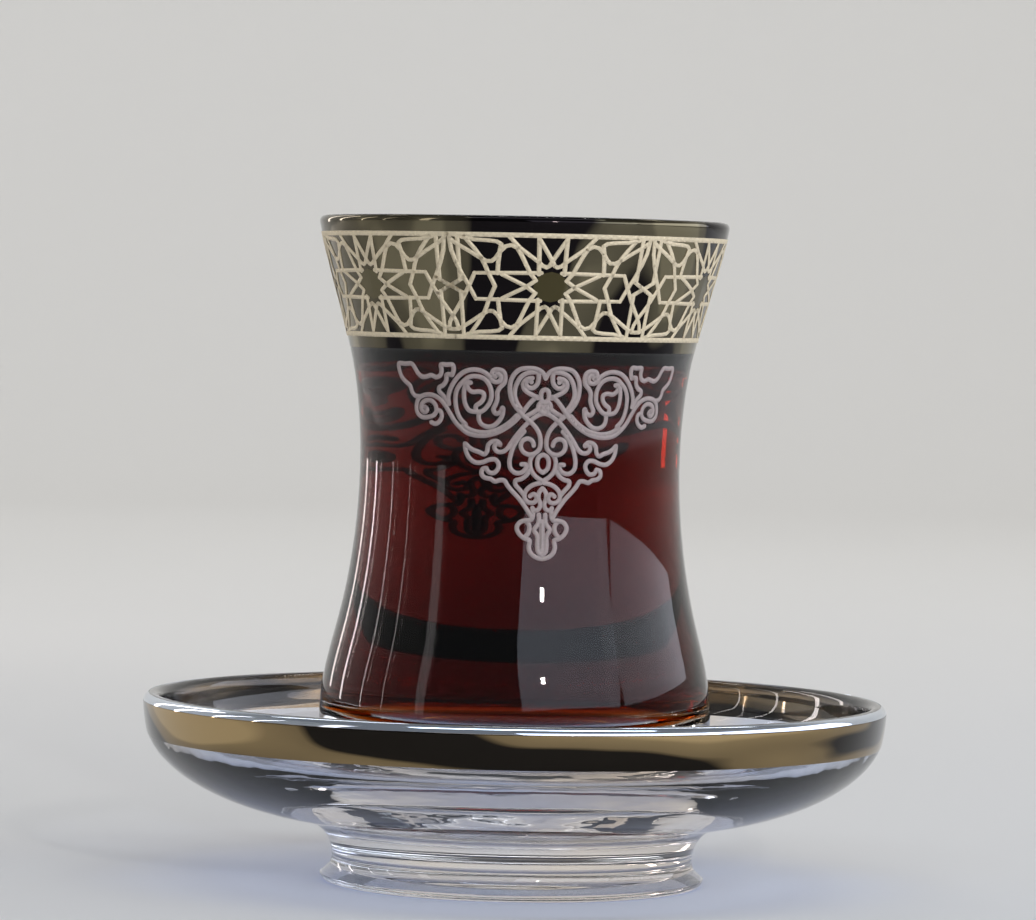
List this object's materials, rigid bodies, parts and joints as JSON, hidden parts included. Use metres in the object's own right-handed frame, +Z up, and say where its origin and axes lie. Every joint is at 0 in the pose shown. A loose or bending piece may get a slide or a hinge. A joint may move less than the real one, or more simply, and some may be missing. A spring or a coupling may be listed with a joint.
{
  "type": "glass of tea on a saucer",
  "caption": "Waisted clear glass of dark red tea, with an etched mirror band and scrollwork, on its own footed glass saucer with a mirror rim.",
  "frame": {"origin": "centre of the saucer's underside, on the table", "axes": "+Z up along the common axis of the saucer, the glass and the tea; -Y towards the front scrollwork"},
  "size_m": [0.116, 0.116, 0.1037],
  "materials": {
    "clear_glass": "clear, fire polished",
    "tea": "clear dark red liquid",
    "saucer_glass": "clear, fire polished",
    "mirror_band": "polished lustre film",
    "etched_line": "matte etched lines"
  },
  "bodies": {
    "root": {"tea_glass": "clear_glass", "tea": "tea", "saucer": "saucer_glass"}
  },
  "joints": []
}
